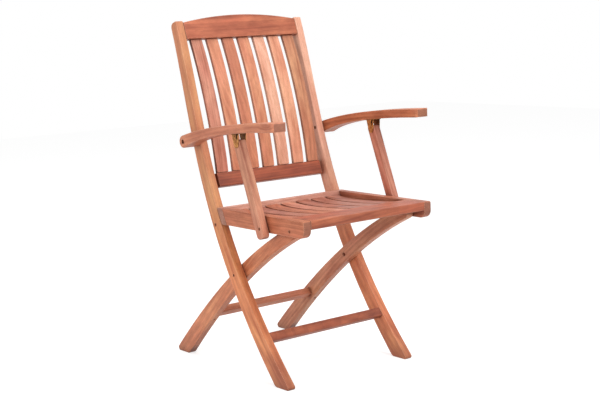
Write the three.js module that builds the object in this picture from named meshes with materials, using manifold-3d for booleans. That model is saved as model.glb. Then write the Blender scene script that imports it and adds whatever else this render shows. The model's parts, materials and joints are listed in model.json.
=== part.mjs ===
// A folding garden armchair in oiled teak.
// Each side of the chair is a long curved board, the stile, which is the front leg and the back's upright in one.
// The rear legs cross the stiles at a pin, the seat turns on the rear legs' tops and hooks onto a rod behind it,
// and each armrest turns on its stile and is held up by a support that turns under it.
//
// Units are millimetres. X points to the sitter's left, Y to the rear and Z up from the floor.
// Side profiles are drawn with the shape's x along Y and its y along Z, and extruded along X.
import * as THREE from "three";
import { mergeVertices } from "three/addons/utils/BufferGeometryUtils.js";
import Module from "manifold-3d";

const wasm = await Module();
wasm.setup();

// Clearances and details that several pieces share.
const seatGap = 0.3;
const boreGap = 0.3;
const sideGap = 1;
const ease = 2;
const overrun = 20;
const pinRadius = 3;
const pinHeadRadius = 4.5;
const pinHeadHeight = 2;
const pinRecess = 1;

// Overall sizes.
const frameWidth = 414;
const backHeight = 900;
const seatHeight = 428;

// The stile's centre line runs from the foot to the top. Its bends are shares of its reach and height.
const stile = {
  thickness: 22.5,
  footY: 15.5,
  reach: 411.5,
  footDepth: 46,
  topDepth: 28,
  footTipRadius: 6,
  footHeelRadius: 14,
  topFrontRadius: 5,
  topRearRadius: 16,
};
const stileLowBendShares = [0.791, 0.412];
const stileHighBendShares = [0.8, 0.7204];
const taperShare = 0.8;

// The most of a wall that a corner's rounding may take up.
const wallShare = 0.45;

// How much of its control points' rise a curve's middle reaches, with one control point and with two.
const oneControlShare = 1 / 2;
const twoControlShare = 3 / 4;

// How finely curves are drawn: straight pieces to a board's length or a corner, and sides to a round.
const facets = {
  cornerCount: 3,
  edgeCount: 2,
  stileCount: 18,
  rearLegCount: 14,
  rearLegTopCount: 8,
  backSlatCount: 9,
  seatSlatCount: 9,
  topRailCount: 20,
  armCount: 11,
  pinCount: 12,
  dowelCount: 12,
  rodCount: 16,
  boreCount: 14,
  counterboreCount: 20,
};

// How a place on a curve is searched for: from and to beyond its ends, and the step that gives its direction.
const searchShares = [-0.2, 1.2];
const searchCount = 50;
const tangentShare = 1e-4;

// The seat's side rails, and where the rear legs and the arm supports are pinned to them.
const sideRail = {
  depth: 42,
  frontY: -92,
  bottomFrontRadius: 20,
  topFrontRadius: 4,
  legPinFromFront: 56.7,
  legPinBelowTop: 29.5,
  supportPinFromLegPin: 88.3,
};

// The rear legs bend so that they pass the crossing pin at a share of their curve.
const rearLeg = {
  thickness: 22,
  footY: 499,
  footDepth: 46,
  topDepth: 34,
  footHeelRadius: 14,
  footTipRadius: 8,
  crossingHeight: 259,
};
const crossingShare = 0.54;

// How steeply, in degrees, the rear legs run down from the seat's front when the chair is folded flat.
const foldedLegSlope = 13.4;

// Crossbars between the legs, measured along the leg and across it.
const frontBar = { height: 117.5, along: 24.5, across: 18, setBack: 1.5, radius: 3 };
const rearBar = { height: 129, along: 24, across: 20, radius: 3 };
const barDowel = { radius: 3.5, length: 34, recess: 0.8 };

// The seat.
const seatEdge = { gapToStile: 4, bottomRadius: 6 };
const frontRail = { depth: 71, thickness: 22, radius: 3, copeGap: 2.5, copeSide: 1.5 };
const rearRail = { thickness: 18 };
const seatSlat = { count: 7, width: 42, pitch: 51, thickness: 11, belowFront: 3.5, belowRear: 9, dish: 6.5 };
const seatDishShares = [0.45, 0.86];
const rod = { radius: 3.5, belowRail: 4.4, gap: 0.3 };
const rodDepthShare = 0.3;
const hook = { thickness: 2.5, width: 9, plateHeight: 20, lip: 5 };

// The back.
const topRail = { height: 43, thickness: 21, rise: 17, endDrop: 4.6 };
const lowerRail = {
  aboveSeat: 85.5,
  height: 37.5,
  thickness: 21,
  setBack: 9,
  radius: 3,
  notch: 14,
  notchSide: 1,
};
const backSlat = { count: 7, width: 35.4, pitch: 50.4, thickness: 10.5, topSetBack: 7, lumbar: 12.5 };
const lumbarShares = [0.28, 0.72];

// The armrests. Heights are the arm's underside and top above the pivot, at shares of its length.
const arm = {
  pivotAboveSeat: 169,
  pivotForward: 5.9,
  width: 44,
  frontReach: 385,
  rearRadius: 16,
  frontRadius: 6,
  planRadius: 12,
  hingeFromPivot: 207.5,
  hingeRise: 3,
};
const armTop = { middle: 54, front: 63, middleShare: 0.35 };
const armBottom = { middle: 30, front: 41, middleShare: 0.24 };
const armPin = { radius: 4, headRadius: 5.5, headHeight: 3, headRecess: 3.5 };
const hingePinHead = { radius: 4.5, height: 1 };

// The arm supports and the two-eared brackets they turn in.
const support = { thickness: 21, depth: 26, above: 9, below: 27, bottomRadius: 11, topRadius: 4, pinForward: 4.5 };
const bracket = { ear: 1.2, earWidth: 12, plate: 1.5, plateLength: 34 };

// Colours of the wood, piece to piece, and of the metals.
const teakTones = [0xc98a62, 0xd2956c, 0xbd7c55, 0xc68560, 0xd89e76, 0xb9744f, 0xca8e68];
const tones = { stile: 0xd49a6c, rearLeg: 0xb9713f, rail: 0xb8704f, arm: 0xba7350, support: 0xcd8c68 };
const brassColour = 0xb08d4a;
const steelColour = 0x8d8a85;

const halfWidth = frameWidth / 2;
const stileInner = halfWidth - stile.thickness;
const legOuter = stileInner - sideGap;
const legInner = legOuter - rearLeg.thickness;
const outerLayer = halfWidth + sideGap;

// The seat's hooks stand between the outermost back slats and the stiles, where they pass the back as the seat
// folds up, and the lower back rail is notched at its ends to let them by.
const slatEdge = ((backSlat.count - 1) * backSlat.pitch + backSlat.width) / 2;
const hookInner = (slatEdge + stileInner - hook.width) / 2;

function wood(colour) {
  return new THREE.MeshStandardMaterial({ color: colour, roughness: 0.55, metalness: 0 });
}

function metal(colour) {
  return new THREE.MeshStandardMaterial({ color: colour, roughness: 0.35, metalness: 1 });
}

// A corner list holds [point, radius] pairs. Each corner is rounded by an arc, which a short wall makes smaller.
function roundedShape(corners) {
  const shape = new THREE.Shape();
  corners.forEach(([point, radius], index) => {
    const before = corners[(index + corners.length - 1) % corners.length][0].clone().sub(point);
    const after = corners[(index + 1) % corners.length][0].clone().sub(point);
    const turnsLeft = before.cross(after) < 0;
    const room = wallShare * Math.min(before.length(), after.length());
    before.normalize();
    after.normalize();
    const half = Math.acos(before.dot(after)) / 2;
    const away = Math.min(radius / Math.tan(half), room);
    const start = before.clone().multiplyScalar(away).add(point);
    if (index === 0) shape.moveTo(start.x, start.y);
    else shape.lineTo(start.x, start.y);
    if (away > 0) {
      const end = after.clone().multiplyScalar(away).add(point);
      const centre = before.clone().add(after).setLength(away / Math.cos(half)).add(point);
      const from = start.clone().sub(centre).angle();
      const to = end.clone().sub(centre).angle();
      shape.absarc(centre.x, centre.y, away * Math.tan(half), from, to, !turnsLeft);
    }
  });
  return shape;
}

function at(y, z) {
  return new THREE.Vector2(y, z);
}

function bore(shape, centre, radius) {
  const round = new THREE.EllipseCurve(centre.x, centre.y, radius, radius);
  shape.holes.push(new THREE.Path(round.getPoints(facets.boreCount)));
}

// Extrudes a shape to a thickness with its long edges eased, from 0 to the thickness along local Z.
function eased(shape, thickness, edge = ease, curveSegments = facets.cornerCount) {
  return new THREE.ExtrudeGeometry(shape, {
    depth: thickness - 2 * edge,
    bevelEnabled: edge > 0,
    bevelThickness: edge,
    bevelSize: edge,
    bevelOffset: -edge,
    bevelSegments: facets.edgeCount,
    curveSegments,
  }).translate(0, 0, edge);
}

const sideways = new THREE.Matrix4().makeBasis(
  new THREE.Vector3(0, 1, 0),
  new THREE.Vector3(0, 0, 1),
  new THREE.Vector3(1, 0, 0),
);

// A side profile extruded along X, starting at the mesh's own x.
function sideBoard(shape, thickness, edge = ease, curveSegments = facets.cornerCount) {
  return eased(shape, thickness, edge, curveSegments).applyMatrix4(sideways);
}

function solidFrom(geometry) {
  const bare = geometry.index ? geometry.toNonIndexed() : geometry.clone();
  bare.deleteAttribute("normal");
  bare.deleteAttribute("uv");
  const merged = mergeVertices(bare);
  return new wasm.Manifold(
    new wasm.Mesh({
      numProp: 3,
      vertProperties: merged.attributes.position.array,
      triVerts: new Uint32Array(merged.index.array),
    }),
  );
}

function geometryFrom(solid) {
  const { vertProperties, triVerts } = solid.getMesh();
  const geometry = new THREE.BufferGeometry();
  geometry.setAttribute("position", new THREE.BufferAttribute(vertProperties, 3));
  geometry.setIndex(new THREE.BufferAttribute(triVerts, 1));
  const faceted = geometry.toNonIndexed();
  faceted.computeVertexNormals();
  return faceted;
}

function put(group, name, geometry, material, x = 0) {
  const mesh = new THREE.Mesh(geometry, material);
  mesh.name = name;
  mesh.position.x = x;
  group.add(mesh);
  return mesh;
}

// Puts a board that lies between inner and inner + thickness on the left, and its twin on the right.
function putOnSide(group, name, geometry, material, side, inner, thickness) {
  return put(group, name, geometry, material, side > 0 ? inner : -inner - thickness);
}

const sides = [
  { word: "left", sign: 1 },
  { word: "right", sign: -1 },
];

// A body that turns about the X axis through its pivot; its pieces keep the chair's own coordinates.
function hinged(parent, name, pivot) {
  const turning = new THREE.Group();
  turning.name = name;
  turning.position.set(0, pivot.x, pivot.y);
  const body = new THREE.Group();
  body.position.set(0, -pivot.x, -pivot.y);
  turning.add(body);
  parent.add(turning);
  return body;
}

// A round pin along X with a flat head, turned on a lathe: the shank starts at 0 and the head ends it.
function headedPin(length, radius, headRadius, headHeight) {
  const profile = [
    at(0, 0),
    at(radius, 0),
    at(radius, length),
    at(headRadius, length),
    at(headRadius, length + headHeight / 2),
    at(headRadius - headHeight / 2, length + headHeight),
    at(0, length + headHeight),
  ];
  return new THREE.LatheGeometry(profile, facets.pinCount).rotateZ(-Math.PI / 2);
}

function putPin(group, name, geometry, material, side, x, centre) {
  const mesh = put(group, name, geometry, material, x);
  mesh.position.set(x, centre.x, centre.y);
  mesh.rotation.y = side > 0 ? 0 : Math.PI;
  return mesh;
}

// The curved boards.

function direction(curve, share) {
  return curve.getPoint(share + tangentShare).sub(curve.getPoint(share - tangentShare)).normalize();
}

// A point on one edge of a curved board: side 1 is the edge to the left of the way the curve runs.
function edgePoint(board, share, side) {
  const along = direction(board.curve, share);
  const half = board.depthAt(share) / 2;
  return board.curve.getPoint(share).add(at(-along.y, along.x).multiplyScalar(side * half));
}

// The share of a curve at which a rising measure reaches its goal.
function shareWhere(measure, goal, [low, high] = searchShares) {
  let from = low;
  let to = high;
  for (let step = 0; step < searchCount; step += 1) {
    const middle = (from + to) / 2;
    if (measure(middle) < goal) from = middle;
    else to = middle;
  }
  return (from + to) / 2;
}

function shareAtHeight(board, height, side = 0) {
  return shareWhere((share) => edgePoint(board, share, side).y, height);
}

function edgeAtHeight(board, height, side) {
  return edgePoint(board, shareAtHeight(board, height, side), side);
}

function edgePoints(board, side, from, to, steps) {
  const points = [];
  for (let step = 0; step <= steps; step += 1) {
    points.push(edgePoint(board, THREE.MathUtils.lerp(from, to, step / steps), side));
  }
  return points;
}

function taper(from, to) {
  return (share) => from + (to - from) * Math.max(share, 0) ** taperShare;
}

const stileTop = at(stile.footY + stile.reach, backHeight);
const stileBoard = {
  curve: new THREE.CubicBezierCurve(
    at(stile.footY, 0),
    at(stile.footY + stileLowBendShares[0] * stile.reach, stileLowBendShares[1] * backHeight),
    at(stile.footY + stileHighBendShares[0] * stile.reach, stileHighBendShares[1] * backHeight),
    stileTop,
  ),
  depthAt: taper(stile.footDepth, stile.topDepth),
};
const FRONT = 1;
const REAR = -1;

const crossing = stileBoard.curve.getPoint(shareAtHeight(stileBoard, rearLeg.crossingHeight));
const legPin = at(sideRail.frontY + sideRail.legPinFromFront, seatHeight - sideRail.legPinBelowTop);
const supportPin = at(legPin.x + sideRail.supportPinFromLegPin, legPin.y);
const armPivotShare = shareAtHeight(stileBoard, seatHeight + arm.pivotAboveSeat);
const armPivot = stileBoard.curve.getPoint(armPivotShare).add(at(-arm.pivotForward, 0));
const armHinge = at(
  armPivot.x - Math.sqrt(arm.hingeFromPivot ** 2 - arm.hingeRise ** 2),
  armPivot.y + arm.hingeRise,
);

function passingThrough(start, middle, end, share) {
  const away = 1 - share;
  return middle
    .clone()
    .addScaledVector(start, -away * away)
    .addScaledVector(end, -share * share)
    .divideScalar(2 * share * away);
}

const legFoot = at(rearLeg.footY, 0);
const legBoard = {
  curve: new THREE.QuadraticBezierCurve(legFoot, passingThrough(legFoot, crossing, legPin, crossingShare), legPin),
  depthAt: taper(rearLeg.footDepth, rearLeg.topDepth),
};
const UPPER = -1;
const LOWER = 1;

const railBottom = seatHeight - sideRail.depth;
const rodHeight = railBottom - rod.belowRail;
const rodCentre = edgeAtHeight(stileBoard, rodHeight, REAR).lerp(
  edgeAtHeight(stileBoard, rodHeight, FRONT),
  rodDepthShare,
);

function stileShape() {
  const front = edgePoints(stileBoard, FRONT, shareAtHeight(stileBoard, 0, FRONT), 1, facets.stileCount);
  const rear = edgePoints(stileBoard, REAR, shareAtHeight(stileBoard, 0, REAR), 1, facets.stileCount).reverse();
  const corners = [...front.map((point) => [point, 0]), ...rear.map((point) => [point, 0])];
  corners[0][1] = stile.footTipRadius;
  corners[front.length - 1][1] = stile.topFrontRadius;
  corners[front.length][1] = stile.topRearRadius;
  corners[corners.length - 1][1] = stile.footHeelRadius;
  const shape = roundedShape(corners);
  bore(shape, crossing, pinRadius + boreGap);
  bore(shape, armPivot, armPin.radius + boreGap);
  bore(shape, rodCentre, rod.radius + boreGap);
  return shape;
}

function rearLegShape() {
  const lower = edgePoints(legBoard, LOWER, shareAtHeight(legBoard, 0, LOWER), 1, facets.rearLegCount);
  const upper = edgePoints(legBoard, UPPER, shareAtHeight(legBoard, 0, UPPER), 1, facets.rearLegCount).reverse();
  const heading = direction(legBoard.curve, 1).angle();
  const corners = [...lower.map((point) => [point, 0])];
  for (let turn = 1; turn < facets.rearLegTopCount; turn += 1) {
    const angle = heading + Math.PI / 2 - (turn * Math.PI) / facets.rearLegTopCount;
    corners.push([legPin.clone().add(at(Math.cos(angle), Math.sin(angle)).setLength(rearLeg.topDepth / 2)), 0]);
  }
  corners.push(...upper.map((point) => [point, 0]));
  corners[0][1] = rearLeg.footHeelRadius;
  corners[corners.length - 1][1] = rearLeg.footTipRadius;
  const shape = roundedShape(corners);
  bore(shape, crossing, pinRadius + boreGap);
  bore(shape, legPin, pinRadius + boreGap);
  return shape;
}

// A bar's section: a rounded rectangle set along and across a leg at a centre.
function barShape(centre, along, alongSize, acrossSize, radius) {
  const across = at(-along.y, along.x);
  const corner = (a, b) => [
    centre
      .clone()
      .addScaledVector(along, (a * alongSize) / 2)
      .addScaledVector(across, (b * acrossSize) / 2),
    radius,
  ];
  return roundedShape([corner(-1, -1), corner(1, -1), corner(1, 1), corner(-1, 1)]);
}

// The pieces.

const chair = new THREE.Group();
chair.name = "folding_teak_armchair";
const backFrame = new THREE.Group();
chair.add(backFrame);
const rearLegFrame = hinged(backFrame, "rear_leg_frame", crossing);
const seatFrame = hinged(rearLegFrame, "seat_frame", legPin);

function addStiles() {
  const geometry = sideBoard(stileShape(), stile.thickness);
  for (const { word, sign } of sides) {
    putOnSide(backFrame, `stile_${word}`, geometry, wood(tones.stile), sign, stileInner, stile.thickness);
  }
}

function between(leftInner, gap = seatGap) {
  return 2 * (leftInner - gap);
}

function addTopRail() {
  const low = edgeAtHeight(stileBoard, backHeight - topRail.height, FRONT);
  const high = edgePoint(stileBoard, 1, FRONT);
  const lean = high.clone().sub(low);
  const width = between(stileInner);
  const endHeight = lean.length() - topRail.endDrop;
  const shape = new THREE.Shape();
  shape.moveTo(-width / 2, 0);
  shape.lineTo(width / 2, 0);
  shape.lineTo(width / 2, endHeight);
  shape.quadraticCurveTo(0, endHeight + topRail.rise / oneControlShare, -width / 2, endHeight);
  const geometry = eased(shape, topRail.thickness, ease, facets.topRailCount).translate(0, 0, -topRail.thickness);
  const mesh = put(backFrame, "top_rail", geometry, wood(tones.rail));
  mesh.position.set(0, low.x, low.y);
  mesh.rotation.x = lean.angle();
  return { low, lean };
}

function addLowerRail() {
  const top = seatHeight + lowerRail.aboveSeat;
  const front = edgeAtHeight(stileBoard, top, FRONT);
  const along = direction(stileBoard.curve, shareAtHeight(stileBoard, top - lowerRail.height / 2, FRONT));
  const inward = at(along.y, -along.x);
  const centre = front
    .clone()
    .addScaledVector(inward, lowerRail.setBack + lowerRail.thickness / 2)
    .addScaledVector(along, -lowerRail.height / 2);
  const shape = barShape(centre, along, lowerRail.height, lowerRail.thickness, lowerRail.radius);
  const width = between(stileInner);
  const board = solidFrom(sideBoard(shape, width, 0).translate(-width / 2, 0, 0));
  const frontCentre = centre.clone().addScaledVector(inward, -lowerRail.thickness / 2);
  const notch = barShape(frontCentre, along, lowerRail.height + overrun, 2 * lowerRail.notch, 0);
  const inner = hookInner - lowerRail.notchSide;
  const block = sideBoard(notch, overrun, 0);
  const left = solidFrom(block.clone().translate(inner, 0, 0));
  const right = solidFrom(block.clone().translate(-inner - overrun, 0, 0));
  const geometry = geometryFrom(board.subtract(left).subtract(right));
  put(backFrame, "lower_back_rail", geometry, wood(tones.rail));
  return { centre, along, inward };
}

function addBackSlats(top, lower) {
  const leanWay = top.lean.clone().normalize();
  const topInward = at(leanWay.y, -leanWay.x);
  const high = top.low
    .clone()
    .addScaledVector(topInward, backSlat.topSetBack)
    .addScaledVector(leanWay, -seatGap);
  const low = lower.centre
    .clone()
    .addScaledVector(lower.along, lowerRail.height / 2 + seatGap)
    .addScaledVector(lower.inward, -lowerRail.thickness / 2 + seatGap);
  const chord = high.clone().sub(low);
  const forward = at(-chord.y, chord.x).normalize();
  const bend = (share) => low.clone().lerp(high, share).addScaledVector(forward, backSlat.lumbar / twoControlShare);
  const face = new THREE.CubicBezierCurve(low, bend(lumbarShares[0]), bend(lumbarShares[1]), high);
  const steps = facets.backSlatCount;
  const front = [];
  const rear = [];
  for (let step = 0; step <= steps; step += 1) {
    const share = step / steps;
    const along = direction(face, share);
    front.push([face.getPoint(share), 0]);
    rear.push([face.getPoint(share).addScaledVector(at(along.y, -along.x), backSlat.thickness), 0]);
  }
  // The slat's ends are square to the rails they stand on, so its rear corners are set back along them.
  rear[0][0] = low.clone().addScaledVector(lower.inward, backSlat.thickness);
  rear[steps][0] = high.clone().addScaledVector(topInward, backSlat.thickness);
  const geometry = sideBoard(roundedShape([...front, ...rear.reverse()]), backSlat.width);
  for (let index = 0; index < backSlat.count; index += 1) {
    const centre = (index - (backSlat.count - 1) / 2) * backSlat.pitch;
    const tone = wood(teakTones[index % teakTones.length]);
    put(backFrame, `back_slat_${index + 1}`, geometry, tone, centre - backSlat.width / 2);
  }
}

function addFrontCrossbar() {
  const share = shareAtHeight(stileBoard, frontBar.height, FRONT);
  const along = direction(stileBoard.curve, share);
  const inward = at(along.y, -along.x);
  const centre = edgePoint(stileBoard, share, FRONT).addScaledVector(
    inward,
    frontBar.setBack + frontBar.across / 2,
  );
  const width = between(stileInner);
  const shape = barShape(centre, along, frontBar.along, frontBar.across, frontBar.radius);
  put(backFrame, "front_crossbar", sideBoard(shape, width, 0), wood(tones.rail), -width / 2);
}

function addSeatRod() {
  const length = frameWidth - 2 * pinRecess;
  const geometry = new THREE.CylinderGeometry(rod.radius, rod.radius, length, facets.rodCount).rotateZ(Math.PI / 2);
  putPin(backFrame, "seat_rod", geometry, metal(steelColour), 1, 0, rodCentre);
}

function addCrossingPins() {
  const length = halfWidth - pinRecess - legInner + seatGap;
  const geometry = headedPin(length, pinRadius, pinHeadRadius, pinHeadHeight);
  for (const { word, sign } of sides) {
    const x = sign * (halfWidth - pinRecess);
    putPin(backFrame, `crossing_pin_${word}`, geometry, metal(steelColour), -sign, x, crossing);
  }
}

// A dowel from each rear leg's under edge pins the rear crossbar's tenon.
function rearDowel() {
  const share = shareAtHeight(legBoard, rearBar.height);
  const along = direction(legBoard.curve, share);
  const inward = at(along.y, -along.x);
  const mouth = edgePoint(legBoard, share, LOWER).addScaledVector(inward, barDowel.recess);
  return { mouth, inward };
}

// A cylinder that starts at a point of the side view and runs along a direction in it.
function roundAlong(radius, length, start, way) {
  const cylinder = new THREE.CylinderGeometry(radius, radius, length, facets.dowelCount).translate(0, length / 2, 0);
  const up = new THREE.Vector3(0, 1, 0);
  const turn = new THREE.Quaternion().setFromUnitVectors(up, new THREE.Vector3(0, way.x, way.y));
  return cylinder.applyQuaternion(turn).translate(0, start.x, start.y);
}

function addRearLegs() {
  const { mouth, inward } = rearDowel();
  const outside = mouth.clone().addScaledVector(inward, -overrun);
  const middle = rearLeg.thickness / 2;
  const drill = roundAlong(barDowel.radius + boreGap, barDowel.length + overrun + seatGap, outside, inward);
  const board = solidFrom(sideBoard(rearLegShape(), rearLeg.thickness));
  const geometry = geometryFrom(board.subtract(solidFrom(drill.translate(middle, 0, 0))));
  const dowel = roundAlong(barDowel.radius, barDowel.length, mouth, inward);
  for (const { word, sign } of sides) {
    putOnSide(rearLegFrame, `rear_leg_${word}`, geometry, wood(tones.rearLeg), sign, legInner, rearLeg.thickness);
    const x = sign * (legInner + middle);
    put(rearLegFrame, `rear_crossbar_dowel_${word}`, dowel, wood(tones.stile), x);
  }
}

function addRearCrossbar() {
  const share = shareAtHeight(legBoard, rearBar.height);
  const along = direction(legBoard.curve, share);
  const centre = legBoard.curve.getPoint(share);
  const width = between(legInner);
  const shape = barShape(centre, along, rearBar.along, rearBar.across, rearBar.radius);
  put(rearLegFrame, "rear_crossbar", sideBoard(shape, width, 0), wood(tones.rail), -width / 2);
}

// The seat.

const rearFaceTop = edgeAtHeight(stileBoard, seatHeight, FRONT).add(at(-seatEdge.gapToStile, 0));
const rearFaceBottom = edgeAtHeight(stileBoard, railBottom, FRONT).add(at(-seatEdge.gapToStile, 0));
const rearRailSlope = rearFaceTop.clone().sub(rearFaceBottom).normalize();
const railAcross = (rearRail.thickness + seatGap) / rearRailSlope.y;

function addSideRails() {
  const shape = roundedShape([
    [at(sideRail.frontY, railBottom), sideRail.bottomFrontRadius],
    [rearFaceBottom.clone().add(at(-railAcross, 0)), 0],
    [rearFaceTop.clone().add(at(-railAcross, 0)), 0],
    [at(sideRail.frontY, seatHeight), sideRail.topFrontRadius],
  ]);
  bore(shape, legPin, pinRadius + boreGap);
  bore(shape, supportPin, pinRadius + boreGap);
  const geometry = sideBoard(shape, stile.thickness);
  for (const { word, sign } of sides) {
    const material = wood(tones.support);
    putOnSide(seatFrame, `seat_side_rail_${word}`, geometry, material, sign, stileInner, stile.thickness);
  }
}

function addRearRail() {
  const across = rearRail.thickness / rearRailSlope.y;
  const shape = roundedShape([
    [rearFaceBottom.clone().add(at(-across, 0)), 0],
    [rearFaceBottom, seatEdge.bottomRadius],
    [rearFaceTop, ease],
    [rearFaceTop.clone().add(at(-across, 0)), 0],
  ]);
  put(seatFrame, "seat_rear_rail", sideBoard(shape, frameWidth, 0), wood(tones.rail), -halfWidth);
}

// The front rail is coped from below where the rear legs' round tops turn under it, and forwards as far as the
// folded legs reach.
function addFrontRail() {
  const bottom = seatHeight - frontRail.thickness;
  const rear = sideRail.frontY + frontRail.depth;
  const shape = roundedShape([
    [at(sideRail.frontY, bottom), frontRail.radius],
    [at(rear, bottom), frontRail.radius],
    [at(rear, seatHeight), frontRail.radius],
    [at(sideRail.frontY, seatHeight), frontRail.radius],
  ]);
  const width = between(stileInner);
  const board = solidFrom(sideBoard(shape, width, 0).translate(-width / 2, 0, 0));
  const copeRadius = rearLeg.topDepth / 2 + frontRail.copeGap;
  const copeInner = legInner - frontRail.copeSide;
  const copeLength = stileInner + overrun - copeInner;
  const turned = Math.PI / 2 + THREE.MathUtils.degToRad(foldedLegSlope);
  const square = at(Math.cos(turned), Math.sin(turned));
  const folded = at(-square.y, square.x);
  const reach = legPin.clone().addScaledVector(square, copeRadius).addScaledVector(folded, frontRail.depth);
  const cope = new THREE.Shape();
  cope.moveTo(rear + overrun, bottom - overrun);
  cope.lineTo(rear + overrun, legPin.y + copeRadius);
  cope.absarc(legPin.x, legPin.y, copeRadius, Math.PI / 2, turned, false);
  cope.lineTo(reach.x, reach.y);
  cope.lineTo(reach.x, bottom - overrun);
  const block = sideBoard(cope, copeLength, 0);
  const left = solidFrom(block.clone().translate(copeInner, 0, 0));
  const right = solidFrom(block.clone().translate(-copeInner - copeLength, 0, 0));
  const cut = board.subtract(left).subtract(right);
  put(seatFrame, "seat_front_rail", geometryFrom(cut), wood(tones.arm));
}

function addSeatSlats() {
  const frontY = sideRail.frontY + frontRail.depth + seatGap;
  const frontTop = seatHeight - seatSlat.belowFront;
  const rearTop = seatHeight - seatSlat.belowRear;
  const rearY = THREE.MathUtils.mapLinear(rearTop, railBottom, seatHeight, rearFaceBottom.x, rearFaceTop.x) - railAcross;
  const front = at(frontY, frontTop);
  const rear = at(rearY, rearTop);
  const bend = (share) => front.clone().lerp(rear, share).add(at(0, -seatSlat.dish / twoControlShare));
  const face = new THREE.CubicBezierCurve(front, bend(seatDishShares[0]), bend(seatDishShares[1]), rear);
  const steps = facets.seatSlatCount;
  const upper = [];
  const lower = [];
  for (let step = 0; step <= steps; step += 1) {
    const point = face.getPoint(step / steps);
    upper.push([point, 0]);
    lower.push([point.clone().add(at(0, -seatSlat.thickness)), 0]);
  }
  lower[steps][0].x += (-seatSlat.thickness * rearRailSlope.x) / rearRailSlope.y;
  const geometry = sideBoard(roundedShape([...lower, ...upper.reverse()]), seatSlat.width);
  for (let index = 0; index < seatSlat.count; index += 1) {
    const centre = (index - (seatSlat.count - 1) / 2) * seatSlat.pitch;
    const tone = wood(teakTones[(index + 3) % teakTones.length]);
    put(seatFrame, `seat_slat_${index + 1}`, geometry, tone, centre - seatSlat.width / 2);
  }
}

// A point beside the rear rail's rear face, at a height and a distance behind the face.
function behindSeat(height, distance) {
  const share = (height - railBottom) / sideRail.depth;
  return rearFaceBottom.clone().lerp(rearFaceTop, share).add(at(distance / rearRailSlope.y, 0));
}

// A hook plate lies on the rear rail's rear face and drops over the rod from above.
function addSeatHooks() {
  const grip = rod.radius + rod.gap;
  const inside = rodCentre.y + grip;
  const top = inside + hook.thickness;
  const corners = [
    behindSeat(top + hook.plateHeight, seatGap + hook.thickness),
    behindSeat(top + hook.plateHeight, seatGap),
    behindSeat(inside, seatGap),
    at(rodCentre.x, inside),
  ];
  const shape = new THREE.Shape();
  shape.moveTo(corners[0].x, corners[0].y);
  shape.lineTo(corners[1].x, corners[1].y);
  shape.lineTo(corners[2].x, corners[2].y);
  shape.lineTo(corners[3].x, corners[3].y);
  shape.absarc(rodCentre.x, rodCentre.y, grip, Math.PI / 2, 0, true);
  shape.lineTo(rodCentre.x + grip, rodCentre.y - hook.lip);
  shape.lineTo(rodCentre.x + grip + hook.thickness, rodCentre.y - hook.lip);
  shape.absarc(rodCentre.x, rodCentre.y, grip + hook.thickness, 0, Math.PI / 2, false);
  const foot = behindSeat(top, seatGap + hook.thickness);
  shape.lineTo(foot.x, foot.y);
  const geometry = sideBoard(shape, hook.width, 0);
  for (const { word, sign } of sides) {
    putOnSide(seatFrame, `seat_hook_${word}`, geometry, metal(brassColour), sign, hookInner, hook.width);
  }
}

function addLegTopPins() {
  const length = halfWidth - pinRecess - legInner + seatGap;
  const geometry = headedPin(length, pinRadius, pinHeadRadius, pinHeadHeight);
  for (const { word, sign } of sides) {
    const x = sign * (halfWidth - pinRecess);
    putPin(seatFrame, `leg_top_pin_${word}`, geometry, metal(steelColour), -sign, x, legPin);
  }
}

// The arms.

// The point that an edge of the arm bends towards.
function armMiddle(edge) {
  return at(armPivot.x - edge.middleShare * arm.frontReach, armPivot.y + edge.middle);
}

// Where on the arm's round rear end an edge leaves it, as an angle, so that edge and end meet without a corner.
function armEdgeAngle(middle, side) {
  return side * (Math.PI / 2 - Math.atan2(side * (middle.y - armPivot.y) - arm.rearRadius, armPivot.x - middle.x));
}

function armRearPoint(angle) {
  return armPivot.clone().add(at(Math.cos(angle), Math.sin(angle)).setLength(arm.rearRadius));
}

function armShape() {
  const frontY = armPivot.x - arm.frontReach;
  const topMiddle = armMiddle(armTop);
  const bottomMiddle = armMiddle(armBottom);
  const start = armEdgeAngle(bottomMiddle, -1);
  const end = armEdgeAngle(topMiddle, 1);
  const shape = new THREE.Shape();
  shape.absarc(armPivot.x, armPivot.y, arm.rearRadius, start, end, false);
  shape.quadraticCurveTo(topMiddle.x, topMiddle.y, frontY + arm.frontRadius, armPivot.y + armTop.front);
  shape.quadraticCurveTo(frontY, armPivot.y + armTop.front, frontY, armPivot.y + armTop.front - arm.frontRadius);
  shape.lineTo(frontY, armPivot.y + armBottom.front + arm.frontRadius);
  shape.quadraticCurveTo(frontY, armPivot.y + armBottom.front, frontY + arm.frontRadius, armPivot.y + armBottom.front);
  const rearBottom = armRearPoint(start);
  shape.quadraticCurveTo(bottomMiddle.x, bottomMiddle.y, rearBottom.x, rearBottom.y);
  bore(shape, armPivot, armPin.radius + boreGap);
  return shape;
}

// A cylinder along X between two places, round a centre in the side view.
function roundAcross(radius, from, to, centre) {
  const cylinder = new THREE.CylinderGeometry(radius, radius, to - from, facets.counterboreCount).rotateZ(Math.PI / 2);
  return solidFrom(cylinder.translate((from + to) / 2, centre.x, centre.y));
}

const armBodies = sides.map(({ word, sign }) => ({ word, sign, body: hinged(backFrame, `arm_${word}`, armPivot) }));

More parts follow.
